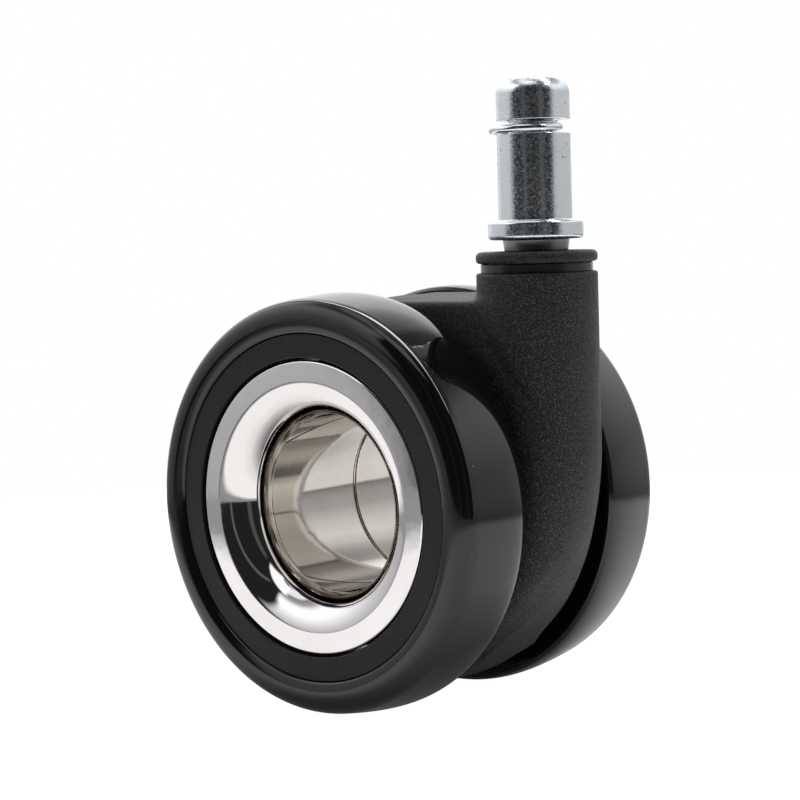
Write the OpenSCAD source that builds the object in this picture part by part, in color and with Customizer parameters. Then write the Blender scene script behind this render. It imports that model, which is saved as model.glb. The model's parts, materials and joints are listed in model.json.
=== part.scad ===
// Twin-wheel swivel caster for an office chair, with an 11 mm grip-ring stem
// and an open hub that can be seen right through.
// Origin: stem axis at the top face of the stem flange. +Z up along the stem.
// The wheels trail towards -X and turn about an axle parallel to Y.

/* [Stem] */
// Diameter of the plain shank that goes into the chair leg
stem_d = 11; // [10.6:0.1:11.2]
// Length of the stem above its flange
stem_len = 20.9; // [20:0.1:24]
// Diameter of the flange that the chair leg rests on
flange_d = 14.2; // [13.6:0.1:15]
// Thickness of the flange
flange_t = 2.8; // [2.4:0.1:2.9]
// Height of the grip ring's groove above the flange
groove_z = 12.6; // [11:0.1:12.6]
// Width of the grip ring's groove
groove_w = 2.0; // [1.8:0.1:2.2]
// Wire diameter of the grip ring
ring_wire_d = 1.2; // [1.1:0.05:1.3]

/* [Swivel] */
// Diameter of the housing's barrel and of the cap above it
barrel_d = 17.9; // [17.4:0.1:18.6]
// Diameter of the plain collar under the cap
collar_d = 16.5; // [15.8:0.1:17]
// Diameter of the stem's journal inside the bush
journal_d = 8; // [7.6:0.1:8]
// How far the wheel axle trails behind the stem
trail = 26.5; // [26:0.1:28]
// Drop from the flange's top face to the wheel axle
axle_drop = 41.6; // [41:0.1:44]

/* [Housing] */
// Radius of the round web between the wheels
web_r = 29.7; // [29:0.1:30.2]
// Thickness of the web between the wheels
web_t = 16; // [15:0.1:16.4]

/* [Wheels] */
// Diameter over the tread
wheel_d = 63.5; // [63:0.1:66]
// Distance from the middle plane to a tyre's inner face
wheel_inner_y = 10.6; // [10.4:0.1:10.8]
// Distance from the middle plane to a rim's outer face
rim_face_y = 22.7; // [22.5:0.1:22.9]
// Diameter of the line between tyre and rim
rim_d = 51.9; // [51.6:0.1:52.4]

/* [Hub] */
// Clear diameter of the hole through the hub
bore_d = 27; // [26:0.1:28]
// Diameter over the trim ring's flange
trim_d = 43.9; // [43.4:0.1:44]
// Place of the joint between the two bore sleeves
seam_y = 3; // [-6:0.1:6]
// Number of balls in each wheel bearing
ball_count = 24; // [18:1:26]

/* [Hidden] */
$fn = 96;

eps = 0.01;
// Clearance of a shaft turning in its bush, and between pressed or moulded parts
run_gap = 0.05;
press_gap = 0.04;

// Stem: heights are measured from the flange's top face
stem_r = stem_d / 2;
head_round = 2.8;
groove_floor_r = 3.5;
neck_top_r = 4.95;
neck_end_r = 4.7;
neck_end_z = -4.45;
journal_r = journal_d / 2;
journal_end_z = -30;
clip_z = -25.2;
clip_t = 1.0;
clip_floor_r = journal_r - 0.75;

// Grip ring: it lies pushed to one side of its groove, with its gap to the other side
ring_wire_r = ring_wire_d / 2;
ring_mid_r = stem_r + 0.2 - ring_wire_r;
ring_side_angle = 40.6;
ring_shift = 0.95;
ring_gap_angle = 56;
ring_z = groove_z + 0.15 + ring_wire_r;

// Swivel stack, from the cap down to the barrel
cap_top_z = -4.5;
cap_t = 1.7;
cap_edge = 0.7;
cap_under_z = cap_top_z - cap_t;
washer_t = 0.8;
washer_r = 7.2;
barrel_top_z = -7.6;
collar_top_z = cap_under_z - run_gap;
bush_r = 6;
bush_end_z = clip_z + 0.2;
cavity_end_z = journal_end_z - 1;
barrel_r = barrel_d / 2;

// Housing: the nose line slopes from the barrel's front to touch the web's circle
nose_angle = -27;
nose_top_z = -36;
shelf_rise = 0.7;
web_edge_y = 2.3;
web_edge_r = 1.0;
flank_y = web_t / 2;
wheel_r = wheel_d / 2;
wheel_room = 1.7;
boss_r = 18.8;

// Hub and bearing: y distances are measured outwards from the middle plane
tube_in_r = 16;
tube_out_r = 17.5;
tube_end_y = 18.9;
race_y0 = 10.9;
race_y1 = 17.4;
race_mid_y = (race_y0 + race_y1) / 2;
inner_race_r = 19.3;
outer_race_r = 21.7;
outer_race_d = 46.9;
pitch_r = 20.5;
ball_r = 1.7;
raceway_r = 1.85;
cage_w = 4.6;
cage_r0 = inner_race_r + 0.4;
cage_r1 = outer_race_r - 0.4;
pocket_r = 1.9;
seal_t = 0.5;
circlip_t = 0.9;
circlip_y = race_y1 + 0.05;
circlip_floor_r = 16.9;

// Trim ring: flat flange, then a bell mouth that rounds inwards to the bore
trim_face_y = 22.35;
trim_back_y = 21.35;
trim_back_r = 19.6;
bore_r = bore_d / 2;
trim_r = trim_d / 2;
mouth_r = 19;
mouth_edge_angle = 6;
mouth_round = (mouth_r - bore_r) / (1 - sin(mouth_edge_angle));
mouth_end_y = trim_face_y - mouth_round * cos(mouth_edge_angle);
spigot_end_y = mouth_end_y - 0.1;
seam_edge = 0.45;

// Rim and tyre
rim_r = rim_d / 2;
rim_lip_r = 22.35;
rim_bore_r = outer_race_d / 2 + press_gap;
rim_inner_y = wheel_inner_y + 0.4;
key_h = 1.5;
key_y0 = 14;
key_y1 = 19;
tread_crown = 0.35;
tread_swell = [wheel_r + 0.495, 13.2];
shoulder_r = wheel_r - 0.7;
shoulder_y = 21.1;
shoulder_bulge = [30.4, 24.1];
face_step = 0.25;
side_step_r = 30.3;
side_step = 0.8;
tread_edge = 0.4;

// Points of a curve from a to b, pulled towards c
function bend(a, c, b, n = 10) =
  [for (i = [0:n]) let (k = i / n) (1 - k) * (1 - k) * a + 2 * k * (1 - k) * c + k * k * b];

// Points of an arc about centre c
function arc(c, r, a0, a1, n = 8) =
  [for (i = [0:n]) let (a = a0 + (a1 - a0) * i / n) c + r * [cos(a), sin(a)]];

// Turned ring about Y, from points given as [radius, distance from the middle plane]
module turned(points, side) {
  translate([-trail, 0, -axle_drop])
    rotate([side > 0 ? -90 : 90, 0, 0])
      rotate_extrude() polygon(points);
}

// Plain ring about Y between two radii and two distances from the middle plane
module hub_ring(r0, r1, y0, y1, side) {
  turned([[r0, y0], [r1, y0], [r1, y1], [r0, y1]], side);
}

module stem() {
  top = stem_len - head_round;
  color("silver") rotate_extrude() polygon(concat(
    [[0, stem_len]],
    arc([stem_r - head_round, top], head_round, 90, 0),
    [
      [stem_r, groove_z + groove_w],
      [groove_floor_r, groove_z + groove_w],
      [groove_floor_r, groove_z],
      [stem_r, groove_z],
      [stem_r, 0]
    ],
    arc([flange_d / 2 - 0.6, -0.6], 0.6, 90, 0),
    arc([flange_d / 2 - 0.7, -flange_t + 0.7], 0.7, 0, -90),
    [
      [neck_top_r, -flange_t],
      [neck_end_r, neck_end_z],
      [journal_r, neck_end_z],
      [journal_r, clip_z],
      [clip_floor_r, clip_z],
      [clip_floor_r, clip_z - clip_t - 0.2],
      [journal_r, clip_z - clip_t - 0.2],
      [journal_r, journal_end_z + 1],
      [journal_r - 1, journal_end_z],
      [0, journal_end_z]
    ]
  ));
}

module grip_ring() {
  color("gainsboro")
    rotate([0, 0, ring_side_angle])
      translate([-ring_shift, 0, ring_z])
        rotate([0, 0, ring_gap_angle / 2])
          rotate_extrude(angle = 360 - ring_gap_angle)
            translate([ring_mid_r, 0]) circle(r = ring_wire_r, $fn = 32);
}

module stem_retaining_ring() {
  gap = 70;
  color("dimgray")
    translate([0, 0, clip_z - 0.1 - clip_t])
      rotate([0, 0, gap / 2])
        rotate_extrude(angle = 360 - gap)
          translate([clip_floor_r + press_gap, 0]) square([2.1, clip_t]);
}

module swivel_cap() {
  r = barrel_r;
  color("#26262a") rotate_extrude() polygon(concat(
    [[journal_r + press_gap, cap_under_z], [r - cap_edge, cap_under_z]],
    arc([r - cap_edge, cap_under_z + cap_edge], cap_edge, -90, 0),
    arc([r - cap_edge, cap_top_z - cap_edge], cap_edge, 0, 90),
    [[journal_r + press_gap, cap_top_z]]
  ));
}

module thrust_washer() {
  color("silver")
    translate([0, 0, cap_under_z - run_gap - washer_t])
      difference() {
        cylinder(h = washer_t, r = washer_r);
        translate([0, 0, -1]) cylinder(h = washer_t + 2, r = journal_r + 0.3);
      }
}

module swivel_bush() {
  seat_z = cap_under_z - run_gap - washer_t - press_gap;
  color("#17171a") difference() {
    union() {
      translate([0, 0, barrel_top_z + press_gap])
        cylinder(h = collar_top_z - barrel_top_z - press_gap, r = collar_d / 2);
      translate([0, 0, bush_end_z])
        cylinder(h = barrel_top_z - bush_end_z + 0.2, r = bush_r - press_gap);
    }
    translate([0, 0, bush_end_z - 1])
      cylinder(h = 40, r = journal_r + run_gap);
    translate([0, 0, seat_z])
      cylinder(h = 5, r = washer_r + press_gap);
  }
}

// Side outline of the web, the shelf behind the barrel and the sloping nose
module web_outline() {
  centre = [-trail, -axle_drop];
  touch = centre + web_r * [cos(nose_angle), sin(nose_angle)];
  slope = [-sin(nose_angle), cos(nose_angle)];
  run = (nose_top_z - touch[1]) / slope[1];
  shelf_z = -axle_drop + web_r + shelf_rise;
  polygon([
    [-trail, -axle_drop],
    touch,
    touch + run * slope,
    [barrel_r, nose_top_z + 8],
    [barrel_r, shelf_z],
    [-trail + 6, shelf_z],
    [-trail, -axle_drop + web_r]
  ]);
}

module axle_cylinder(r, y0, y1) {
  translate([-trail, y1, -axle_drop])
    rotate([90, 0, 0]) cylinder(h = y1 - y0, r = r);
}

module housing() {
  inner_y = flank_y - web_edge_y;
  reach = 80;
  color("#2b2b2f") difference() {
    union() {
      for (side = [-1, 1])
        turned([
          [0, -eps],
          [web_r, -eps],
          [web_r, inner_y],
          [web_r - web_edge_r, flank_y],
          [0, flank_y]
        ], side);
      intersection() {
        translate([0, 50, 0])
          rotate([90, 0, 0]) linear_extrude(100) web_outline();
        union() {
          translate([-trail - 1, -flank_y, -reach]) cube([trail + 1, web_t, reach]);
          translate([0, 0, -reach]) cylinder(h = reach, r = barrel_r);
        }
      }
      translate([0, 0, -axle_drop + web_r - 4])
        cylinder(h = axle_drop - web_r + 4 + barrel_top_z, r = barrel_r);
      axle_cylinder(boss_r, -race_y0 + press_gap, race_y0 - press_gap);
    }
    for (side = [-1, 1])
      translate([0, side * (flank_y + 3), 0])
        difference() {
          axle_cylinder(wheel_r + wheel_room, -3, 3);
          axle_cylinder(boss_r, -4, 4);
        }
    axle_cylinder(tube_out_r + press_gap, -20, 20);
    translate([0, 0, cavity_end_z]) cylinder(h = 40, r = bush_r);
  }
}

module axle_tube() {
  groove = [circlip_y - 0.03, circlip_y + circlip_t + 0.03];
  color("darkgray") for (side = [-1, 1])
    turned([
      [tube_in_r, -eps],
      [tube_out_r, -eps],
      [tube_out_r, groove[0]],
      [circlip_floor_r, groove[0]],
      [circlip_floor_r, groove[1]],
      [tube_out_r, groove[1]],
      [tube_out_r, tube_end_y],
      [tube_in_r, tube_end_y]
    ], side);
}

// Bore sleeve whose inner end has a small rounded edge that shows as the seam
module bore_sleeve(side) {
  inner = side * seam_y + run_gap;
  r1 = tube_in_r - press_gap;
  color("#b4ada2") turned(concat(
    [
      [r1, inner],
      [r1, spigot_end_y - press_gap],
      [bore_r, spigot_end_y - press_gap]
    ],
    arc([bore_r + seam_edge, inner + seam_edge], seam_edge, 180, 270, 5)
  ), side);
}
module right_bore_sleeve() { bore_sleeve(-1); }
module left_bore_sleeve() { bore_sleeve(1); }

module trim_ring(side) {
  edge = 0.35;
  color("white") turned(concat(
    [
      [bore_r, spigot_end_y],
      [tube_in_r - press_gap, spigot_end_y],
      [tube_in_r - press_gap, tube_end_y + press_gap],
      [tube_out_r, tube_end_y + press_gap],
      [trim_back_r, trim_back_y],
      [trim_r, trim_back_y]
    ],
    arc([trim_r - edge, trim_face_y - edge], edge, 0, 90, 4),
    arc([bore_r + mouth_round, mouth_end_y], mouth_round, 90 + mouth_edge_angle, 180, 14)
  ), side);
}
module right_trim_ring() { trim_ring(-1); }
module left_trim_ring() { trim_ring(1); }

// Snap ring in the tube's groove, open at the top with an eared gap
module circlip(side) {
  gap = 40;
  ear_r = 1.1;
  color("dimgray")
    translate([-trail, 0, -axle_drop])
      rotate([side > 0 ? -90 : 90, 0, 0])
        rotate([0, 0, gap / 2 - 90]) {
          rotate_extrude(angle = 360 - gap)
            translate([circlip_floor_r + press_gap, circlip_y]) square([2, circlip_t]);
          for (a = [3, 357 - gap])
            rotate([0, 0, a])
              translate([circlip_floor_r + 2.6, 0, circlip_y])
                difference() {
                  cylinder(h = circlip_t, r = ear_r);
                  translate([0, 0, -1]) cylinder(h = 3, r = ear_r / 2);
                }
        }
}
module right_circlip() { circlip(-1); }
module left_circlip() { circlip(1); }

module raceway() {
  translate([pitch_r, race_mid_y]) circle(r = raceway_r, $fn = 48);
}

module race(r0, r1, side) {
  translate([-trail, 0, -axle_drop])
    rotate([side > 0 ? -90 : 90, 0, 0])
      rotate_extrude()
        difference() {
          translate([r0, race_y0]) square([r1 - r0, race_y1 - race_y0]);
          raceway();
        }
}

module inner_race(side) {
  color("lightsteelblue") race(tube_out_r + press_gap, inner_race_r, side);
}
module right_inner_race() { inner_race(-1); }
module left_inner_race() { inner_race(1); }

module outer_race(side) {
  color("lightsteelblue") race(outer_race_r, outer_race_d / 2, side);
}
module right_outer_race() { outer_race(-1); }
module left_outer_race() { outer_race(1); }

// Places its children at each ball of a bearing
module at_balls(side) {
  for (i = [0:ball_count - 1])
    translate([-trail, side * race_mid_y, -axle_drop])
      rotate([0, i * 360 / ball_count, 0])
        translate([pitch_r, 0, 0]) children();
}

module bearing_balls(side) {
  color("silver") at_balls(side) sphere(r = ball_r, $fn = 32);
}
module right_bearing_balls() { bearing_balls(-1); }
module left_bearing_balls() { bearing_balls(1); }

module ball_cage(side) {
  y0 = race_mid_y - cage_w / 2;
  y1 = race_mid_y + cage_w / 2;
  color("goldenrod") difference() {
    hub_ring(cage_r0, cage_r1, y0, y1, side);
    at_balls(side) rotate([0, 90, 0]) cylinder(h = 6, r = pocket_r, center = true, $fn = 32);
  }
}
module right_ball_cage() { ball_cage(-1); }
module left_ball_cage() { ball_cage(1); }

module seal(y, side) {
  color("#333338") hub_ring(inner_race_r + 0.3, outer_race_r - press_gap, y, y + seal_t, side);
}
module right_inboard_seal() { seal(race_y0 + 0.1, -1); }
module left_inboard_seal() { seal(race_y0 + 0.1, 1); }
module right_outboard_seal() { seal(race_y1 - 0.1 - seal_t, -1); }
module left_outboard_seal() { seal(race_y1 - 0.1 - seal_t, 1); }

module wheel_rim(side) {
  g = press_gap / 2;
  color("#1b1b1e") turned([
    [rim_bore_r, rim_inner_y],
    [rim_r - g, rim_inner_y],
    [rim_r - g, key_y0 + g],
    [rim_r + key_h - g, key_y0 + g],
    [rim_r + key_h - g, key_y1 - g],
    [rim_r - g, key_y1 - g],
    [rim_r - g, rim_face_y],
    [rim_lip_r, rim_face_y],
    [rim_lip_r, race_y1 + press_gap],
    [rim_bore_r, race_y1 + press_gap]
  ], side);
}
module right_wheel_rim() { wheel_rim(-1); }
module left_wheel_rim() { wheel_rim(1); }

module tyre(side) {
  g = press_gap / 2;
  shoulder = [shoulder_r, shoulder_y];
  color("#0d0d0f") turned(concat(
    [
      [rim_r + g, wheel_inner_y + side_step],
      [side_step_r, wheel_inner_y + side_step],
      [side_step_r, wheel_inner_y],
      [wheel_r - tread_crown - tread_edge, wheel_inner_y]
    ],
    bend([wheel_r - tread_crown, wheel_inner_y + tread_edge], tread_swell, shoulder, 9),
    bend(shoulder, shoulder_bulge, [rim_r + g, rim_face_y + face_step]),
    [
      [rim_r + g, key_y1 + g],
      [rim_r + key_h + g, key_y1 + g],
      [rim_r + key_h + g, key_y0 - g],
      [rim_r + g, key_y0 - g]
    ]
  ), side);
}
module right_tyre() { tyre(-1); }
module left_tyre() { tyre(1); }

stem();
grip_ring();
stem_retaining_ring();
swivel_cap();
thrust_washer();
swivel_bush();
housing();
axle_tube();
right_bore_sleeve();
left_bore_sleeve();
right_trim_ring();
left_trim_ring();
right_circlip();
left_circlip();
right_inner_race();
left_inner_race();
right_bearing_balls();
left_bearing_balls();
right_ball_cage();
left_ball_cage();
right_outer_race();
left_outer_race();
right_inboard_seal();
left_inboard_seal();
right_outboard_seal();
left_outboard_seal();
right_wheel_rim();
left_wheel_rim();
right_tyre();
left_tyre();
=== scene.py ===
import json
import math

import bpy
import numpy as np
from mathutils import Matrix, Vector


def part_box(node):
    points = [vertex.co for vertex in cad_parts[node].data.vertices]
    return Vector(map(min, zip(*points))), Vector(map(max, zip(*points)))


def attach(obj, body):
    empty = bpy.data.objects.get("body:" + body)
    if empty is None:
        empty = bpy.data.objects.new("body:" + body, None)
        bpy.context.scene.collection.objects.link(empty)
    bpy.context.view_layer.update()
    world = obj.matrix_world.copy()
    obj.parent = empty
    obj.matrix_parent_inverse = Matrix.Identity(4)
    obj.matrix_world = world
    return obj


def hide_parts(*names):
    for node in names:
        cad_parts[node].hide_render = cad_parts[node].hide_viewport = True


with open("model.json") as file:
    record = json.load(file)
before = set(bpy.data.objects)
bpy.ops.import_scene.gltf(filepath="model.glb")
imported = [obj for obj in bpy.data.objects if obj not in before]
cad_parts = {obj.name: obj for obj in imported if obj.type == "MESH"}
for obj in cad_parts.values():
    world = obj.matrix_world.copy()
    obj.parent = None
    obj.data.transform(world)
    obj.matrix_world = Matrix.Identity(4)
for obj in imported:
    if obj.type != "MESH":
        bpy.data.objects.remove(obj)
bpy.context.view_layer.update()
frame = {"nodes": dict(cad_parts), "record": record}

MM = 0.001
SIDES = {"right": -1, "left": 1}

# ---------------------------------------------------------------- dimensions, in millimetres

tyre_low, tyre_high = (np.array(corner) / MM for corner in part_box("right_tyre"))
stem_low, stem_high = (np.array(corner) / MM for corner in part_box("stem"))
web_low, web_high = (np.array(corner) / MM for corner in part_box("housing"))
cap_low, cap_high = (np.array(corner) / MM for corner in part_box("swivel_cap"))
bush_low, bush_high = (np.array(corner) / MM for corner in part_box("swivel_bush"))
rim_low, rim_high = (np.array(corner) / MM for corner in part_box("right_wheel_rim"))
trim_low, trim_high = (np.array(corner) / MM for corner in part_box("right_trim_ring"))
sleeve_low, sleeve_high = (np.array(corner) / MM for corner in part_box("right_bore_sleeve"))
wire_low, wire_high = (np.array(corner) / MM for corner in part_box("grip_ring"))

AXLE = np.array([(tyre_low[0] + tyre_high[0]) / 2, 0, (tyre_low[2] + tyre_high[2]) / 2])
WHEEL_R = (tyre_high[2] - tyre_low[2]) / 2
FLOOR_Z = tyre_low[2]
TYRE_INNER_Y = -tyre_high[1]
RIM_FACE_Y = -rim_low[1]
RIM_INNER_Y = -rim_high[1]
TRIM_R = (trim_high[2] - trim_low[2]) / 2
TRIM_FACE_Y = -trim_low[1]
SLEEVE_OUT_R = (sleeve_high[2] - sleeve_low[2]) / 2
BARREL_R = (cap_high[0] - cap_low[0]) / 2
BARREL_TOP_Z = web_high[2]
PRESS_GAP = 0.02
WHEEL_STEPS = 256
STEM_STEPS = 160

# Housing: the web between the wheels, and the shelf behind the barrel, which slopes to one side
WEB_R = 30.0
WEB_HALF_T = 8.0
SHELF_RISE = 0.4
SHELF_SLOPE = 0.056
NOSE_ANGLE = math.radians(-27)
# How far the nose swells out in front of the web's circle and the straight line that touches it, and the
# rounding of its edges below and above: each changes smoothly between two angles about the axle, in degrees
NOSE_SWELL = 1.7
SWELL_ANGLES = (-46, -8)
NOSE_INSET = 1.2
EDGE_ROUND = (1.0, 8.0)
ROUND_ANGLES = (-46, 10)
WEB_TOP_ANGLES = (40, 75)
# Bevel along the web's edge: its slope as (radial, sideways), its width, and where it starts on the nose
BEVEL = (0.956, 0.292)
BEVEL_W = 2.5
BEVEL_FADE = 1.2
BEVEL_ANGLES = (-26, -8)
# Room that the barrel leaves round each wheel
ROOM_GAP = 1.7
# Boss that carries the bearings' tube, and the holes for the tube and the swivel's bush
BOSS_R = 18.8
BOSS_HALF_T = 10.86
TUBE_HOLE_R = 17.54
BUSH_HOLE_R = 6.0
BUSH_HOLE_SPARE = 1
# How widely the housing's surfaces blend where they meet, and how softly its edges are rounded
NOSE_BLEND = 4.0
BEVEL_BLEND = 0.6
SHELF_BLEND = 1.0
ROOM_BLEND = 3.0
BARREL_BLEND = 1.3
BOSS_BLEND = 0.8
BOSS_EDGE = 0.4
TOP_EDGE = 0.45
TUBE_HOLE_EDGE = 0.4
BUSH_HOLE_EDGE = 0.3
HOUSING_HALF_T = 12.0
HOUSING_STEP = 0.42

# Tyre: the tread swells from its inner edge to the crease, then the shoulder bulges down to the rim
RIM_R = 25.95
TREAD_CROWN = 0.35
TREAD_EDGE = 0.4
TREAD_SWELL = (WHEEL_R + 0.495, 13.2)
CREASE = (WHEEL_R - 0.7, 21.1)
CREASE_ROUND = 9.0
SHOULDER_BULGE = (30.4, 24.1)
SHOULDER_END = (RIM_R + 0.16, RIM_FACE_Y + 0.25)
SIDE_STEP_R = 30.3
SIDE_STEP = 0.8

# Rim: the seat of the bearing, and the lip in front of it
BEARING_SEAT_R = 23.5
LIP_R = 22.35
LIP_Y = 17.45

# Trim ring: a flat flange, the dish's arc in degrees off the axle, and the spigot in the hub's tube
DISH_START_R = 19.0
DISH_ARC_R = 6.1
DISH_ARC = (6, 90)
TRIM_T = 1.0
TRIM_BACK_Y = 18.95
DISH_BACK_R = (17.5, 19.6)
SPIGOT_Y = 16.2

# Bore sleeves, with the seam between them
BORE_R = 13.5
SEAM_Y = 3.0
SEAM_GAP = 0.05
SEAM_EDGE = 0.5
SPIGOT_GAP = 0.04

# Stem and grip ring
STEM_R = 5.5
FLANGE_R = stem_high[0]
FLANGE_T = 2.8
HEAD_TOP_Z = stem_high[2]
HEAD_ROUND = 2.75
GROOVE_Z = (12.6, 14.6)
GROOVE_R = 3.6
TOOL_LINES = (1.25, 0.75)
TOOL_LINE = 0.05
NECK_R = (4.95, 4.7)
NECK_LOW_Z = -4.45
JOURNAL_R = 4.0
RING_FACING = math.radians(40.6)
RING_SHIFT = 0.95
RING_PROUD = 0.2
RING_HALF_GAP = 28.0
RING_TILT = math.radians(1.0)

# Swivel cap and bush
SWIVEL_BORE_R = 4.05
CAP_RECESS_R = 4.75
CAP_RECESS = 0.1
BUSH_R = 5.95
COLLAR_GAP = 0.05
COLLAR_TOP_Z = -6.27
COLLAR_RECESS_R = 7.25
COLLAR_RECESS = 0.6


# ---------------------------------------------------------------- mesh helpers

def link(name, mesh):
    piece = bpy.data.objects.new(name, mesh)
    bpy.context.scene.collection.objects.link(piece)
    return piece


def mesh_piece(name, points, faces, normals=None):
    """A smooth-shaded piece from points in millimetres."""
    mesh = bpy.data.meshes.new(name)
    mesh.from_pydata((np.asarray(points) * MM).tolist(), [], [list(map(int, f)) for f in faces])
    mesh.validate()
    mesh.shade_smooth()
    if normals is not None:
        mesh.normals_split_custom_set_from_vertices(np.asarray(normals).tolist())
    return link(name, mesh)


def rounded(corners, steps=6):
    """Profile points from (r, y, fillet radius) corners of a closed outline."""
    points = []
    count = len(corners)
    for i, (r, y, fillet) in enumerate(corners):
        here = np.array([r, y], float)
        if fillet <= 0:
            points.append(here)
            continue
        before = np.array(corners[i - 1][:2], float) - here
        after = np.array(corners[(i + 1) % count][:2], float) - here
        reach_before, reach_after = np.linalg.norm(before), np.linalg.norm(after)
        before, after = before / reach_before, after / reach_after
        half = math.acos(np.clip(before @ after, -1, 1)) / 2
        cut = min(fillet / math.tan(half), 0.49 * min(reach_before, reach_after))
        radius = cut * math.tan(half)
        middle = (before + after) / np.linalg.norm(before + after)
        centre = here + middle * radius / math.sin(half)
        start, end = here + before * cut - centre, here + after * cut - centre
        sweep = math.atan2(start[0] * end[1] - start[1] * end[0], start @ end)
        for k in range(steps + 1):
            angle = sweep * k / steps
            c, s = math.cos(angle), math.sin(angle)
            points.append(centre + np.array([c * start[0] - s * start[1], s * start[0] + c * start[1]]))
    return points


def bend(start, pull, end, steps=16):
    """Points of a smooth curve from start to end, pulled towards pull."""
    a, c, b = (np.array(p, float) for p in (start, pull, end))
    return [(1 - k) ** 2 * a + 2 * k * (1 - k) * c + k * k * b for k in np.linspace(0, 1, steps + 1)]


def as_corners(points):
    return [(p[0], p[1], 0) for p in points]


def lathe(name, profile, centre, axis, steps):
    """Turns a closed profile of (r, h) points about an axis: "Z", or a side of the Y axle, -1 or 1."""
    profile = np.array(profile, float)
    following = np.roll(profile, -1, 0)
    area = np.sum(profile[:, 0] * following[:, 1] - following[:, 0] * profile[:, 1])
    if area < 0:
        profile = profile[::-1]
    ahead = np.roll(profile, -1, 0) - profile
    behind = profile - np.roll(profile, 1, 0)
    long_ahead = np.linalg.norm(ahead, axis=1)[:, None]
    long_behind = np.linalg.norm(behind, axis=1)[:, None]
    tangent = ahead * long_ahead + behind * long_behind
    normal = np.stack([tangent[:, 1], -tangent[:, 0]], 1)
    normal /= np.maximum(np.linalg.norm(normal, axis=1), 1e-12)[:, None]
    angles = 2 * math.pi * np.arange(steps) / steps
    c, s = np.cos(angles)[:, None], np.sin(angles)[:, None]
    r, h = profile[None, :, 0], profile[None, :, 1]
    nr, nh = normal[None, :, 0], normal[None, :, 1]
    spread = np.ones_like(c)
    if axis == "Z":
        points = np.stack([r * c, r * s, h * spread], 2)
        normals = np.stack([nr * c, nr * s, nh * spread], 2)
        flip = False
    else:
        points = np.stack([r * c, h * spread * axis, r * s], 2)
        normals = np.stack([nr * c, nh * spread * axis, nr * s], 2)
        flip = axis > 0
    size = len(profile)
    faces = []
    for i in range(steps):
        here, beyond = i * size, (i + 1) % steps * size
        for j in range(size):
            n = (j + 1) % size
            quad = [here + j, beyond + j, beyond + n, here + n]
            faces.append(quad[::-1] if flip else quad)
    points = points.reshape(-1, 3) + np.asarray(centre, float)
    return mesh_piece(name, points, faces, normals.reshape(-1, 3))


# ---------------------------------------------------------------- solid modelling by distance fields

def smooth_max(a, b, k):
    """The larger of two fields, blended where they differ by less than k."""
    h = np.maximum(k - np.abs(a - b), 0) / k
    return np.maximum(a, b) + h * h * k / 4


def smooth_min(a, b, k):
    return -smooth_max(-a, -b, k)


def net(field, low, high, step, passes=4, least_slope=0.25):
    """Quad mesh of the surface where field is zero: one vertex per crossed cell, moved onto the surface."""
    axes = [np.arange(low[i], high[i] + step, step) for i in range(3)]
    grid = np.meshgrid(*axes, indexing="ij")
    value = field(*grid)
    cells = np.array(value.shape) - 1
    total = np.zeros((int(np.prod(cells)), 3))
    hits = np.zeros(int(np.prod(cells)))
    edges = []
    for axis in range(3):
        first = [slice(None)] * 3
        second = [slice(None)] * 3
        first[axis], second[axis] = slice(0, -1), slice(1, None)
        a, b = value[tuple(first)], value[tuple(second)]
        index = np.argwhere((a < 0) != (b < 0))
        va, vb = a[tuple(index.T)], b[tuple(index.T)]
        point = np.array(low) + index * step
        point[:, axis] += step * va / (va - vb)
        u, v = [i for i in range(3) if i != axis]
        around = []
        for du, dv in ((0, 0), (1, 0), (1, 1), (0, 1)):
            cell = index.copy()
            cell[:, u] -= du
            cell[:, v] -= dv
            flat = (cell[:, 0] * cells[1] + cell[:, 1]) * cells[2] + cell[:, 2]
            np.add.at(total, flat, point)
            np.add.at(hits, flat, 1)
            around.append(flat)
        around = np.stack(around, 1)
        turn = (va < 0) != (axis == 1)
        around[turn] = around[turn][:, ::-1]
        edges.append(around)
    used = np.flatnonzero(hits)
    number = np.full(len(hits), -1)
    number[used] = np.arange(len(used))
    points = total[used] / hits[used][:, None]
    quads = number[np.concatenate(edges)]
    for _ in range(passes):
        value, slope = field(*points.T), gradient(field, points)
        move = value / np.maximum((slope ** 2).sum(1), least_slope)
        points -= np.clip(move, -step, step)[:, None] * slope
    slope = gradient(field, points)
    normals = slope / np.maximum(np.linalg.norm(slope, axis=1), 1e-9)[:, None]
    return points, quads[:, ::-1], normals


def gradient(field, points, h=0.02):
    """Slope of a field at each point, from its values h to either side."""
    out = np.empty_like(points)
    for axis in range(3):
        shift = np.zeros(3)
        shift[axis] = h
        out[:, axis] = (field(*(points + shift).T) - field(*(points - shift).T)) / (2 * h)
    return out


# ---------------------------------------------------------------- materials

def tree_of(material):
    material.use_nodes = True
    material.node_tree.nodes.clear()
    return material.node_tree


def add(tree, kind, inputs=None, **settings):
    """Adds a shader node; inputs are values or output sockets."""
    node = tree.nodes.new(kind)
    for key, value in settings.items():
        setattr(node, key, value)
    for key, value in (inputs or {}).items():
        socket = node.inputs[key]
        if isinstance(value, bpy.types.NodeSocket):
            tree.links.new(value, socket)
        else:
            socket.default_value = value
    return node


def ramp(tree, source, stops):
    """Colour ramp through (place, grey or colour) stops."""
    node = add(tree, "ShaderNodeValToRGB", {0: source})
    band = node.color_ramp
    while len(band.elements) < len(stops):
        band.elements.new(0.5)
    for element, (place, colour) in zip(band.elements, stops):
        element.position = place
        element.color = (*colour, 1) if isinstance(colour, tuple) else (colour, colour, colour, 1)
    return node.outputs[0]


def math_node(tree, operation, *values):
    return add(tree, "ShaderNodeMath", dict(enumerate(values)), operation=operation).outputs[0]


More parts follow.
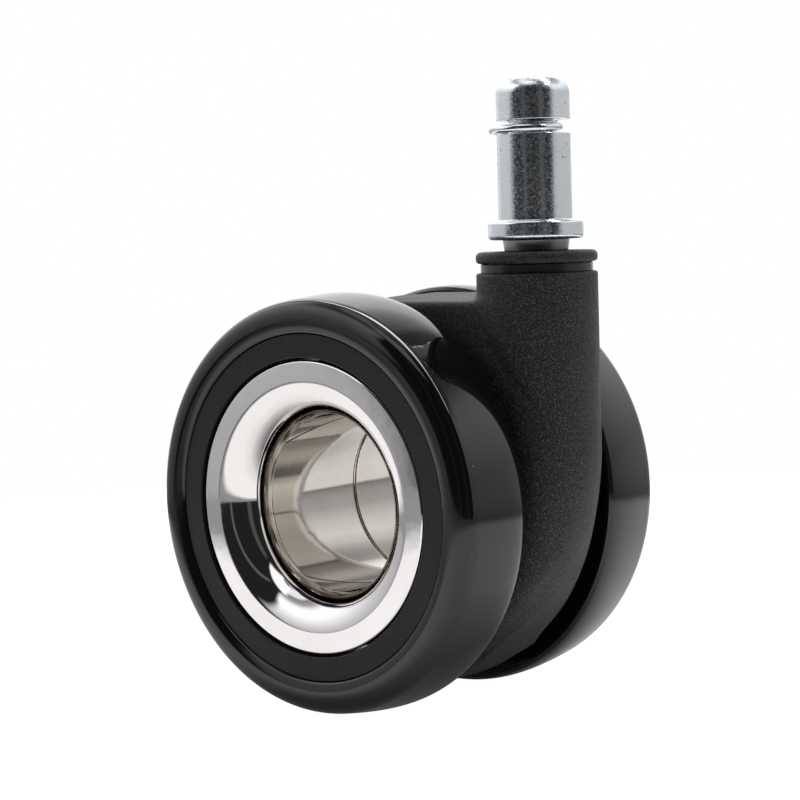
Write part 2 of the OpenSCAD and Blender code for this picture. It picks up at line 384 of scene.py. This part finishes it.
def noise(tree, place, scale, detail=2.0, roughness=0.5):
    return add(tree, "ShaderNodeTexNoise",
               {"Vector": place, "Scale": scale, "Detail": detail, "Roughness": roughness}).outputs[0]


def surface(name, fixed, build):
    """A Principled material. fixed holds plain values; build(tree, place) returns the linked ones."""
    material = bpy.data.materials.new(name)
    tree = tree_of(material)
    place = add(tree, "ShaderNodeTexCoord").outputs["Object"]
    shader = add(tree, "ShaderNodeBsdfPrincipled", {**fixed, **build(tree, place)})
    out = add(tree, "ShaderNodeOutputMaterial")
    tree.links.new(shader.outputs[0], out.inputs[0])
    return material


def bump(tree, height, distance, strength=1.0, normal=None):
    inputs = {"Height": height, "Distance": distance, "Strength": strength}
    if normal is not None:
        inputs["Normal"] = normal
    return add(tree, "ShaderNodeBump", inputs).outputs[0]


def mix(tree, factor, a, b):
    """Blends two colours."""
    return add(tree, "ShaderNodeMix", {0: factor, 6: a, 7: b}, data_type="RGBA").outputs[2]


def specks(tree, place, scale, size, chosen):
    """Round specks that fade out between two sizes, in the few cells whose number is past chosen."""
    cells = add(tree, "ShaderNodeTexVoronoi", {"Vector": place, "Scale": scale, "Randomness": 1.0})
    spot = ramp(tree, cells.outputs["Distance"], [(size[0], 1.0), (size[1], 0.0)])
    number = add(tree, "ShaderNodeSeparateColor", {0: cells.outputs["Color"]}).outputs[0]
    return math_node(tree, "MULTIPLY", spot, ramp(tree, number, [(chosen[0], 0.0), (chosen[1], 1.0)]))


def grained(name, ior, grain_scale, blotch_scale, stops, rough, depth, strength):
    """Spark-eroded plastic: tiny pits with paler points, and a polish that varies slowly."""
    def build(tree, place):
        grain = noise(tree, place, grain_scale, detail=1.0, roughness=0.6)
        blotch = noise(tree, place, blotch_scale, detail=3)
        return {"Base Color": ramp(tree, grain, stops),
                "Roughness": ramp(tree, blotch, [(0.3, rough[0]), (0.7, rough[1])]),
                "Normal": bump(tree, grain, depth, strength)}
    return surface(name, {"IOR": ior}, build)


def moulded(name, ior, scale, colours, rough, depth, strength):
    """Plain moulded plastic or rubber: one fine cloudiness in its colour, polish and relief."""
    def build(tree, place):
        haze = noise(tree, place, scale, detail=3)
        return {"Base Color": ramp(tree, haze, [(0.3, colours[0]), (0.7, colours[1])]),
                "Roughness": ramp(tree, haze, [(0.3, rough[0]), (0.7, rough[1])]),
                "Normal": bump(tree, haze, depth, strength)}
    return surface(name, {"IOR": ior}, build)


def tread_polyurethane():
    """Cast polyurethane: deep gloss, a slow waviness, fine haze and a few specks of dust."""
    def build(tree, place):
        wave = noise(tree, place, 160, detail=2)
        haze = noise(tree, place, 45, detail=4, roughness=0.6)
        dust = specks(tree, place, 260.0, size=(0.035, 0.06), chosen=(0.86, 0.88))
        colour = ramp(tree, dust, [(0.0, (0.0045, 0.0046, 0.0055)), (1.0, (0.2, 0.2, 0.2))])
        rough = math_node(tree, "ADD", ramp(tree, haze, [(0.3, 0.045), (0.75, 0.11)]), dust)
        return {"Base Color": colour, "Roughness": rough,
                "Normal": bump(tree, wave, distance=0.00002, strength=0.5)}
    return surface("tread_polyurethane", {"IOR": 1.5}, build)


def plated(name, colours, rough, grain_scale, grain_depth, wave_depth=0.0):
    """Plated or polished metal: cloudy colour, fine grain and, on moulded parts, a slow waviness."""
    def build(tree, place):
        cloud = noise(tree, place, 120, detail=4, roughness=0.6)
        grain = noise(tree, place, grain_scale, detail=2, roughness=0.6)
        colour = ramp(tree, cloud, [(0.3, colours[0]), (0.7, colours[1])])
        normal = bump(tree, grain, grain_depth, strength=0.5)
        if wave_depth:
            normal = bump(tree, noise(tree, place, 330, detail=1.5), wave_depth, normal=normal)
        return {"Base Color": colour, "Roughness": ramp(tree, grain, [(0.35, rough[0]), (0.65, rough[1])]),
                "Normal": normal}
    return surface(name, {"Metallic": 1.0}, build)


def zinc_plate():
    """Bright zinc: cloudy sheen, fine turning lines, tiny dark pits, and a rougher neck below the flange,
    painted darker as shade.
    """
    def build(tree, place):
        cloud = noise(tree, place, 160, detail=4, roughness=0.6)
        mottle = noise(tree, place, 2200, detail=2, roughness=0.65)
        height = add(tree, "ShaderNodeSeparateXYZ", {0: place}).outputs[2]
        lines = add(tree, "ShaderNodeTexNoise", {"W": height, "Scale": 9000.0, "Detail": 1.0},
                    noise_dimensions="1D").outputs[0]
        pits = specks(tree, place, 900.0, size=(0.10, 0.16), chosen=(0.84, 0.86))
        bright = ramp(tree, cloud, [(0.3, (0.68, 0.72, 0.75)), (0.7, (0.80, 0.825, 0.845))])
        pitted = mix(tree, pits, bright, (0.16, 0.15, 0.14, 1))
        # Below the flange the neck is rougher and painted darker, as shade under the flange
        neck = add(tree, "ShaderNodeMapRange",
                   {"Value": height, "From Min": -0.0030, "From Max": -0.0027}).outputs[0]
        colour = mix(tree, neck, (0.42, 0.42, 0.43, 1), pitted)
        polish = ramp(tree, mottle, [(0.35, 0.17), (0.7, 0.34)])
        rough = add(tree, "ShaderNodeMix", {0: neck, 2: 0.34, 3: polish}).outputs[0]
        relief = math_node(tree, "MULTIPLY_ADD", lines, 0.35, mottle)
        return {"Base Color": colour, "Roughness": rough,
                "Normal": bump(tree, relief, distance=0.00002, strength=0.8)}
    return surface("zinc_steel", {"Metallic": 1.0}, build)


# One material for each slot; depths are in metres
SLOTS = {
    "grained_plastic": grained("grained_plastic", ior=1.41, grain_scale=5600, blotch_scale=90,
                               stops=[(0.45, 0.0018), (0.55, 0.005), (0.63, 0.075)], rough=(0.46, 0.58),
                               depth=0.00014, strength=1.0),
    "tread": tread_polyurethane(),
    "rim_plastic": grained("rim_plastic", ior=1.34, grain_scale=6000, blotch_scale=140,
                           stops=[(0.42, 0.003), (0.7, 0.016)], rough=(0.42, 0.52),
                           depth=0.00006, strength=0.8),
    "bush_plastic": moulded("bush_plastic", ior=1.48, scale=300, colours=(0.010, 0.016), rough=(0.22, 0.34),
                            depth=0.00002, strength=0.4),
    "zinc_steel": zinc_plate(),
    "spring_steel": plated("spring_steel", ((0.62, 0.65, 0.68), (0.76, 0.78, 0.80)), rough=(0.12, 0.2),
                           grain_scale=2000, grain_depth=0.00001),
    "trim_chrome": plated("trim_chrome", ((0.68, 0.655, 0.645), (0.72, 0.70, 0.69)), rough=(0.03, 0.06),
                          grain_scale=900, grain_depth=0.000002, wave_depth=0.00001),
    "nickel": plated("nickel", ((0.46, 0.43, 0.39), (0.52, 0.49, 0.45)), rough=(0.04, 0.07),
                     grain_scale=900, grain_depth=0.000002, wave_depth=0.000008),
    "bearing_steel": plated("bearing_steel", ((0.56, 0.57, 0.59), (0.66, 0.67, 0.68)), rough=(0.15, 0.25),
                            grain_scale=3000, grain_depth=0.00001),
    "seal_rubber": moulded("seal_rubber", ior=1.5, scale=1800, colours=(0.008, 0.02), rough=(0.5, 0.7),
                           depth=0.00003, strength=0.5),
    "cage_nylon": moulded("cage_nylon", ior=1.53, scale=400, rough=(0.35, 0.5),
                          colours=((0.52, 0.45, 0.31), (0.62, 0.55, 0.40)), depth=0.00002, strength=0.4),
}


# ---------------------------------------------------------------- pieces

def dress(piece, node, body, slot):
    """The piece stands for a CAD node, rides on its body and takes its slot's material."""
    piece.data.materials.clear()
    piece.data.materials.append(SLOTS[slot])
    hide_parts(node)
    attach(piece, body)
    return piece


def tyre(side_name, side):
    tread = bend((WHEEL_R - TREAD_CROWN, TYRE_INNER_Y + TREAD_EDGE), TREAD_SWELL, CREASE, 24)
    shoulder = bend(CREASE, SHOULDER_BULGE, SHOULDER_END, 28)
    corners = [
        (RIM_R + PRESS_GAP, TYRE_INNER_Y + SIDE_STEP, 0.05),
        (SIDE_STEP_R, TYRE_INNER_Y + SIDE_STEP, 0.25),
        (SIDE_STEP_R, TYRE_INNER_Y, 0.15),
        (WHEEL_R - TREAD_CROWN - TREAD_EDGE, TYRE_INNER_Y, 0.15),
        *as_corners(tread[:-2]),
        (*CREASE, CREASE_ROUND),
        *as_corners(shoulder[3:]),
        (RIM_R + 0.05, RIM_FACE_Y - 0.1, 0.05),
        (RIM_R + PRESS_GAP, RIM_FACE_Y - 0.5, 0),
    ]
    piece = lathe(f"{side_name}_tyre_tread", rounded(corners), AXLE, side, WHEEL_STEPS)
    return dress(piece, f"{side_name}_tyre", f"{side_name}_wheel", "tread")


def wheel_rim(side_name, side):
    corners = [
        (BEARING_SEAT_R, RIM_INNER_Y, 0.2),
        (RIM_R - PRESS_GAP, RIM_INNER_Y, 0.3),
        (RIM_R - PRESS_GAP, RIM_FACE_Y, 0.14),
        (LIP_R, RIM_FACE_Y, 0.2),
        (LIP_R, LIP_Y, 0.1),
        (BEARING_SEAT_R, LIP_Y, 0.1),
    ]
    piece = lathe(f"{side_name}_rim_ring", rounded(corners), AXLE, side, WHEEL_STEPS)
    return dress(piece, f"{side_name}_wheel_rim", f"{side_name}_wheel", "rim_plastic")


def sweep_in(r, y, radius, low, high, steps=14):
    """Profile points of an arc that turns a face inwards, from low to high in degrees off the axle."""
    centre_r = r + radius * math.sin(math.radians(low))
    centre_y = y - radius * math.cos(math.radians(low))
    return [(centre_r - radius * math.sin(k), centre_y + radius * math.cos(k))
            for k in np.radians(np.linspace(low, high, steps))[1:]]


def trim_ring(side_name, side):
    dish = sweep_in(DISH_START_R, TRIM_FACE_Y, DISH_ARC_R, *DISH_ARC)
    corners = [
        (dish[-1][0], SPIGOT_Y, 0.04),
        (SLEEVE_OUT_R, SPIGOT_Y, 0.1),
        (SLEEVE_OUT_R, TRIM_BACK_Y, 0.1),
        (DISH_BACK_R[0], TRIM_BACK_Y, 0.2),
        (DISH_BACK_R[1], TRIM_FACE_Y - TRIM_T, 0.2),
        (TRIM_R, TRIM_FACE_Y - TRIM_T, 0.15),
        (TRIM_R, TRIM_FACE_Y, 0.35),
        (DISH_START_R, TRIM_FACE_Y, 0),
        *as_corners(dish),
    ]
    piece = lathe(f"{side_name}_trim_dish", rounded(corners), AXLE, side, WHEEL_STEPS)
    return dress(piece, f"{side_name}_trim_ring", "housing", "trim_chrome")


def bore_sleeve(side_name, side):
    inner = side * SEAM_Y + SEAM_GAP
    corners = [
        (BORE_R, inner, SEAM_EDGE),
        (SLEEVE_OUT_R, inner, 0.1),
        (SLEEVE_OUT_R, SPIGOT_Y - SPIGOT_GAP, 0.1),
        (BORE_R, SPIGOT_Y - SPIGOT_GAP, 0.05),
    ]
    piece = lathe(f"{side_name}_bore_liner", rounded(corners), AXLE, side, WHEEL_STEPS)
    return dress(piece, f"{side_name}_bore_sleeve", "housing", "nickel")


def stem():
    """Turned stem: domed head with two fine tool lines, hollow groove, shank, flange and tapered neck."""
    groove_low, groove_top = GROOVE_Z
    lines = []
    for above in TOOL_LINES:
        z = groove_top + above
        lines += [(STEM_R, z + TOOL_LINE, 0), (STEM_R - TOOL_LINE, z, 0), (STEM_R, z - TOOL_LINE, 0)]
    corners = [
        (0, HEAD_TOP_Z, 0),
        (STEM_R, HEAD_TOP_Z, HEAD_ROUND),
        *lines,
        (STEM_R, groove_top, 0.12),
        (GROOVE_R, groove_top, 0.5),
        (GROOVE_R, groove_low, 0.5),
        (STEM_R, groove_low, 0.12),
        (STEM_R, 0, 0.15),
        (FLANGE_R, 0, 0.55),
        (FLANGE_R, -FLANGE_T, 0.7),
        (NECK_R[0], -FLANGE_T, 0.15),
        (NECK_R[1], NECK_LOW_Z, 0.1),
        (JOURNAL_R, NECK_LOW_Z, 0.1),
        (JOURNAL_R, stem_low[2], 0.8),
        (0, stem_low[2], 0),
    ]
    piece = lathe("stem_turned", rounded(corners, 10), (0, 0, 0), "Z", STEM_STEPS)
    return dress(piece, "stem", "stem", "zinc_steel")


def grip_ring():
    """Open wire ring with rounded ends, lying pushed over in its groove."""
    wire_r = (wire_high[2] - wire_low[2]) / 2
    middle_r = STEM_R + RING_PROUD - wire_r
    start, end = RING_HALF_GAP, 360 - RING_HALF_GAP
    steps, ring = 120, 24
    cap = [(wire_r * math.cos(k), wire_r * math.sin(k)) for k in np.radians(np.linspace(0, 88, 6))]
    stations = [(start, r, -along) for r, along in cap[::-1]]
    stations += [(angle, wire_r, 0) for angle in np.linspace(start, end, steps)[1:-1]]
    stations += [(end, r, along) for r, along in cap]
    points, faces = [], []
    for angle, r, along in stations:
        a = math.radians(angle)
        out = np.array([math.cos(a), math.sin(a), 0])
        forward = np.array([-math.sin(a), math.cos(a), 0])
        for b in 2 * math.pi * np.arange(ring) / ring:
            across = math.cos(b) * out + math.sin(b) * np.array([0, 0, 1])
            points.append(middle_r * out + r * across + along * forward)
    for i in range(len(stations) - 1):
        for k in range(ring):
            n = (k + 1) % ring
            faces.append([i * ring + k, i * ring + n, (i + 1) * ring + n, (i + 1) * ring + k])
    faces.append(list(range(ring))[::-1])
    faces.append([(len(stations) - 1) * ring + k for k in range(ring)])
    points = np.array(points)
    points[:, 2] += points[:, 0] * math.tan(RING_TILT)
    points[:, 0] -= RING_SHIFT
    c, s = math.cos(RING_FACING), math.sin(RING_FACING)
    x, y = points[:, 0].copy(), points[:, 1].copy()
    points[:, 0], points[:, 1] = c * x - s * y, s * x + c * y
    points[:, 2] += (wire_low[2] + wire_high[2]) / 2
    piece = mesh_piece("grip_ring_wire", points, faces)
    return dress(piece, "grip_ring", "grip_ring", "spring_steel")


def swivel_cap():
    corners = [
        (SWIVEL_BORE_R, cap_low[2], 0.1),
        (BARREL_R, cap_low[2], 0.55),
        (BARREL_R, cap_high[2], 0.75),
        (CAP_RECESS_R, cap_high[2], 0.15),
        (CAP_RECESS_R, cap_high[2] - CAP_RECESS, 0.05),
        (SWIVEL_BORE_R, cap_high[2] - CAP_RECESS, 0.05),
    ]
    piece = lathe("swivel_cap_disc", rounded(corners), (0, 0, 0), "Z", STEM_STEPS)
    return dress(piece, "swivel_cap", "stem", "grained_plastic")


def swivel_bush():
    """Collar that shows under the cap, and the sleeve below it that the stem turns in."""
    collar_r = bush_high[0]
    collar_low = BARREL_TOP_Z + COLLAR_GAP
    seat = bush_high[2] - COLLAR_RECESS
    corners = [
        (SWIVEL_BORE_R, bush_low[2], 0.1),
        (BUSH_R, bush_low[2], 0.3),
        (BUSH_R, collar_low, 0.05),
        (collar_r, collar_low, 0.05),
        (collar_r, COLLAR_TOP_Z, 0.15),
        (COLLAR_RECESS_R, COLLAR_TOP_Z, 0.1),
        (COLLAR_RECESS_R, seat, 0.05),
        (SWIVEL_BORE_R, seat, 0.1),
    ]
    piece = lathe("swivel_bush_collar", rounded(corners), (0, 0, 0), "Z", STEM_STEPS)
    return dress(piece, "swivel_bush", "housing", "bush_plastic")


def round_corner(a, b, radius):
    """Where two faces meet, rounds the edge between them to a radius."""
    a, b = a + radius, b + radius
    return np.hypot(np.maximum(a, 0), np.maximum(b, 0)) + np.minimum(np.maximum(a, b), 0) - radius


def ease(value, start, end):
    """0 before start, 1 after end, smooth between."""
    k = np.clip((value - start) / (end - start), 0, 1)
    return k * k * (3 - 2 * k)


def bevelled(face, side, edge, fade):
    """Joins a face to the web's side: a rounded edge with a flat bevel beside it."""
    bevel = face * BEVEL[0] + (side + BEVEL_W) * BEVEL[1] - fade
    return smooth_max(round_corner(face, side, edge), bevel, BEVEL_BLEND)


def housing_field(x, y, z):
    """Distance field of the moulding: round web, shelf, round sloping nose and barrel, softly blended."""
    ahead, below = math.cos(NOSE_ANGLE), math.sin(NOSE_ANGLE)
    dx, dz = x - AXLE[0], z - AXLE[2]
    radial = np.hypot(dx, dz)
    angle = np.degrees(np.arctan2(dz, dx))
    side = np.abs(y) - WEB_HALF_T
    lift = SHELF_RISE + SHELF_SLOPE * y
    shelf = dz - WEB_R - lift

    top = ease(angle, *WEB_TOP_ANGLES)
    swell = NOSE_SWELL * ease(angle, *SWELL_ANGLES) * (1 - top)
    edge = EDGE_ROUND[0] + (EDGE_ROUND[1] - EDGE_ROUND[0]) * ease(angle, *ROUND_ANGLES) * (1 - top)
    fade = BEVEL_FADE * ease(angle, *BEVEL_ANGLES) * (1 - top)

    below_nose = dx * below - dz * ahead
    slope = dx * ahead + dz * below - WEB_R - swell
    inner_front = smooth_max(slope, x - BARREL_R + NOSE_INSET, NOSE_BLEND)
    nose = bevelled(inner_front, side, edge, fade)
    nose = np.maximum(nose, np.maximum(-dx, below_nose))
    nose = smooth_max(nose, shelf, SHELF_BLEND)

    rim = radial - WEB_R - swell - lift * np.clip(dz / radial, 0, 1) ** 2
    web = bevelled(rim, side, edge, fade)
    web = np.maximum(web, np.where((angle > 0) & (dx > 0), shelf, -BARREL_R))

    front = smooth_max(slope, x - BARREL_R, NOSE_BLEND)
    barrel = np.hypot(np.maximum(front + BARREL_R, -x), y) - BARREL_R
    barrel = np.maximum(barrel, np.where(below_nose > 0, rim, -BARREL_R))
    room = np.maximum(-side, radial - (WHEEL_R + ROOM_GAP))
    barrel = smooth_max(barrel, -room, ROOM_BLEND)

    boss = smooth_max(radial - BOSS_R, np.abs(y) - BOSS_HALF_T, BOSS_EDGE)
    solid = smooth_min(np.minimum(nose, web), barrel, BARREL_BLEND)
    solid = smooth_min(solid, boss, BOSS_BLEND)
    solid = smooth_max(solid, z - BARREL_TOP_Z, TOP_EDGE)
    solid = smooth_max(solid, TUBE_HOLE_R - radial, TUBE_HOLE_EDGE)
    well = np.maximum(np.hypot(x, y) - BUSH_HOLE_R, stem_low[2] - BUSH_HOLE_SPARE - z)
    return smooth_max(solid, -well, BUSH_HOLE_EDGE)


def housing():
    margin = 1.0
    low = (web_low[0] - margin, -HOUSING_HALF_T, web_low[2] - margin)
    high = (web_high[0] + margin, HOUSING_HALF_T, web_high[2] + margin)
    points, quads, normals = net(housing_field, low, high, HOUSING_STEP)
    piece = mesh_piece("housing_shell", points, quads, normals)
    return dress(piece, "housing", "housing", "grained_plastic")


stem()
grip_ring()
swivel_cap()
swivel_bush()
housing()
for side_name, side in SIDES.items():
    tyre(side_name, side)
    wheel_rim(side_name, side)
    trim_ring(side_name, side)
    bore_sleeve(side_name, side)

slot_names = {entry["node"]: entry["material_slot"] for entry in frame["record"]["subparts"]}
for node_name, cad in frame["nodes"].items():
    material = SLOTS[slot_names[node_name]]
    if not cad.material_slots:
        cad.data.materials.append(material)
    for holder in cad.material_slots:
        holder.material = material


# ---------------------------------------------------------------- stage, light and camera

VIEW_AZIMUTH = math.radians(40.63)
VIEW_ELEVATION = math.radians(4.49)
VIEW_ROLL = math.radians(-1.70)
VIEW_DISTANCE = 0.3498
VIEW_SIDEWAYS = -0.00101
VIEW_UP = 0.01427
LENS = 100.9
SENSOR = 36.0
FLOOR_SIZE = 0.3
FLOOR_PARTS = 96
FLOOR_GREY = 0.25
# Spans below are (from, to, softness). An open end lies far past every angle.
OPEN = 400
# Glow of the floor in reflections, dark near the middle as a painted shadow under the caster: (share of its
# radius, brightness)
FLOOR_SHADE = [(0.0, 0.05), (0.09, 0.16), (0.17, 0.85), (0.25, 1.0), (0.62, 1.0), (0.78, 0.12)]
# Pale strips in the dark side of the room: direction in degrees, half width and brightness
STRIPES = [(-33, 3, 0.12), (20, 6, 0.08)]
STRIPE_SOFT = 1.2
STRIPE_HEIGHT = (-25, 50, 4)
# Brightness of the walls by height, as (elevation in degrees, brightness)
WALL_LIGHT = 2.0
ROOM_GLOW = 0.02
LEFT_WALL = [(-30, 0.1), (-10, 0.45), (0, 0.66), (10, 0.84), (20, 1.15), (30, 1.45), (42, 1.6), (48, 1.2),
             (54, 0.5), (62, 0.3)]
# Where the left wall starts, by height: (elevation, degrees to the left of the camera side)
LEFT_EDGE = [(-10, 83), (-5, 81), (-2, 81.5), (8, 70), (30, 64), (50, 53)]
CORNER = [(-10, 0.2), (0, 0.42), (20, 0.7), (40, 0.5), (50, 0.3)]
RIGHT_WALL = [(-30, 0.05), (-10, 0.32), (0, 0.6), (10, 0.68), (15, 0.84), (22, 1.05), (32, 1.25), (38, 1.0),
              (44, 0.35), (52, 0.18)]
BACK_WALL = [(-15, 0.3), (-5, 1.2), (0, 1.3), (20, 1.6), (36, 1.9), (42, 1.2), (50, 0.6), (60, 0.4)]
# Where the walls stand, in degrees round from the camera side, left negative
LEFT_EDGE_SOFT = 3
LEFT_SPAN = (-150, OPEN, 5)
CORNER_SPAN = (-163, -140, 4)
RIGHT_SPAN = (56, 150, 5)
BACK_SPANS = [(150, OPEN, 5), (-OPEN, -160, 3)]
# Ceiling panels: span in height, span round the room, brightness
PANELS = [((57, 78, 2), (-60, 16, 8), 1.45), ((64, 78, 3), (-150, -60, 8), 0.85)]
ZENITH = (76, OPEN, 4)
ZENITH_LIGHT = 0.3
# Long lamp overhead: direction square to it, its span that way as sines, where it starts towards one side
# of the room, its height and its brightness
TUBE_AXIS = (126, -23)
TUBE_SPAN = (-0.065, 0.005, 0.02)
TUBE_SIDE = 125
TUBE_START = (0.12, OPEN, 0.05)
TUBE_HEIGHT = (44, OPEN, 3)
TUBE_LIGHT = 12.0


def floor():
    """Plain pale floor. In reflections it glows, with a painted shadow under the caster, fading out with
    distance.
    """
    points = [(0, 0, 0)]
    for a in np.linspace(0, 2 * math.pi, FLOOR_PARTS + 1)[:-1]:
        points.append((FLOOR_SIZE * math.cos(a), FLOOR_SIZE * math.sin(a), 0))
    faces = [(0, i + 1, (i + 1) % FLOOR_PARTS + 1) for i in range(FLOOR_PARTS)]
    mesh = bpy.data.meshes.new("floor")
    mesh.from_pydata(points, [], faces)
    piece = link("floor", mesh)
    piece.location = (AXLE[0] * MM, 0, FLOOR_Z * MM)
    material = bpy.data.materials.new("floor")
    tree = tree_of(material)
    place = add(tree, "ShaderNodeTexCoord").outputs["Object"]
    away = add(tree, "ShaderNodeVectorMath", {0: place}, operation="LENGTH").outputs["Value"]
    # Glow by distance from the middle: a painted shadow under the caster, full glow further out, fading at
    # the edge
    shade = ramp(tree, math_node(tree, "DIVIDE", away, FLOOR_SIZE), FLOOR_SHADE)
    seen = add(tree, "ShaderNodeLightPath").outputs["Is Camera Ray"]
    glow = math_node(tree, "MAXIMUM", shade, seen)
    shader = add(tree, "ShaderNodeBsdfPrincipled",
                 {"Base Color": (FLOOR_GREY, FLOOR_GREY, FLOOR_GREY, 1), "Roughness": 0.9,
                  "Specular IOR Level": 0.1, "Emission Color": (1, 1, 1, 1),
                  "Emission Strength": glow})
    tree.links.new(shader.outputs[0], add(tree, "ShaderNodeOutputMaterial").inputs[0])
    mesh.materials.append(material)


def camera():
    sa, ca = math.sin(VIEW_AZIMUTH), math.cos(VIEW_AZIMUTH)
    se, ce = math.sin(VIEW_ELEVATION), math.cos(VIEW_ELEVATION)
    back = Vector((sa * ce, -ca * ce, se))
    right = Vector((ca, sa, 0))
    up = back.cross(right)
    cr, sr = math.cos(VIEW_ROLL), math.sin(VIEW_ROLL)
    right, up = cr * right + sr * up, -sr * right + cr * up
    data = bpy.data.cameras.new("camera")
    data.lens = LENS
    data.sensor_width = SENSOR
    data.clip_start = 0.01
    piece = bpy.data.objects.new("camera", data)
    bpy.context.scene.collection.objects.link(piece)
    place = Vector(AXLE * MM) + VIEW_SIDEWAYS * right + VIEW_UP * up + VIEW_DISTANCE * back
    turn = Matrix((right, up, back)).transposed().to_4x4()
    piece.matrix_world = Matrix.Translation(place) @ turn
    bpy.context.scene.camera = piece


def soft_step(tree, value, start, end):
    """0 where value is at start, 1 at end, smooth between."""
    return add(tree, "ShaderNodeMapRange", {"Value": value, "From Min": start, "From Max": end},
               interpolation_type="SMOOTHSTEP").outputs[0]


def window(tree, value, low, high, soft):
    """1 where value lies between low and high, with soft edges."""
    rise = soft_step(tree, value, low - soft, low + soft)
    fall = soft_step(tree, value, high + soft, high - soft)
    return math_node(tree, "MULTIPLY", rise, fall)


def studio():
    """Room seen in the reflections: pale walls to the sides and back, a dark side, lights overhead."""
    world = bpy.data.worlds.new("studio")
    bpy.context.scene.world = world
    world.use_nodes = True
    tree = world.node_tree
    tree.nodes.clear()
    direction = add(tree, "ShaderNodeTexCoord").outputs["Generated"]
    camera_side = VIEW_AZIMUTH - math.pi / 2

    def along(turn, rise=0.0):
        a, e = camera_side + math.radians(turn), math.radians(rise)
        axis = (math.cos(a) * math.cos(e), math.sin(a) * math.cos(e), math.sin(e))
        product = add(tree, "ShaderNodeVectorMath", {0: direction, 1: axis}, operation="DOT_PRODUCT")
        return product.outputs["Value"]

    def degrees(angle):
        return math_node(tree, "MULTIPLY", angle, 180 / math.pi)

    def both(a, b):
        return math_node(tree, "MULTIPLY", a, b)

    def plus(a, b):
        return math_node(tree, "ADD", a, b)

    def lit(light, shape, strength):
        return math_node(tree, "MULTIPLY_ADD", shape, strength, light)

    turn = degrees(math_node(tree, "ARCTAN2", along(90), along(0)))
    rise = degrees(math_node(tree, "ARCSINE", along(0, 90)))
    level = math_node(tree, "MULTIPLY_ADD", rise, 1 / 180, 0.5)

    def by_height(stops, unit):
        return ramp(tree, level, [(angle / 180 + 0.5, value / unit) for angle, value in stops])

    def wall(stops):
        return by_height(stops, WALL_LIGHT)

    edge = math_node(tree, "MULTIPLY_ADD", by_height(LEFT_EDGE, 180), 180, turn)
    left_of_edge = window(tree, edge, -OPEN, 0, LEFT_EDGE_SOFT)
    light = both(both(wall(LEFT_WALL), left_of_edge), window(tree, turn, *LEFT_SPAN))
    for stops, span in ((CORNER, CORNER_SPAN), (RIGHT_WALL, RIGHT_SPAN)):
        light = plus(light, both(wall(stops), window(tree, turn, *span)))
    behind = plus(*(window(tree, turn, *span) for span in BACK_SPANS))
    light = plus(light, both(wall(BACK_WALL), behind))
    light = math_node(tree, "MULTIPLY_ADD", light, WALL_LIGHT, ROOM_GLOW)
    for heights, turns, strength in PANELS:
        light = lit(light, both(window(tree, rise, *heights), window(tree, turn, *turns)), strength)
    light = lit(light, window(tree, rise, *ZENITH), ZENITH_LIGHT)
    tube = both(window(tree, along(*TUBE_AXIS), *TUBE_SPAN), window(tree, along(TUBE_SIDE), *TUBE_START))
    light = lit(light, both(tube, window(tree, rise, *TUBE_HEIGHT)), TUBE_LIGHT)
    upright = window(tree, rise, *STRIPE_HEIGHT)
    for place, half, strength in STRIPES:
        stripe = window(tree, turn, place - half, place + half, STRIPE_SOFT)
        light = lit(light, both(stripe, upright), strength)
    seen = add(tree, "ShaderNodeLightPath").outputs["Is Camera Ray"]
    glow = add(tree, "ShaderNodeBackground", {"Color": (0.97, 0.985, 1.0, 1), "Strength": light})
    white = add(tree, "ShaderNodeBackground", {"Color": (1, 1, 1, 1), "Strength": 1.0})
    mixed = add(tree, "ShaderNodeMixShader", {0: seen, 1: glow.outputs[0], 2: white.outputs[0]})
    tree.links.new(mixed.outputs[0], add(tree, "ShaderNodeOutputWorld").inputs[0])


floor()
camera()
studio()
scene = bpy.context.scene
scene.view_settings.view_transform = "Standard"
scene.cycles.use_denoising = True
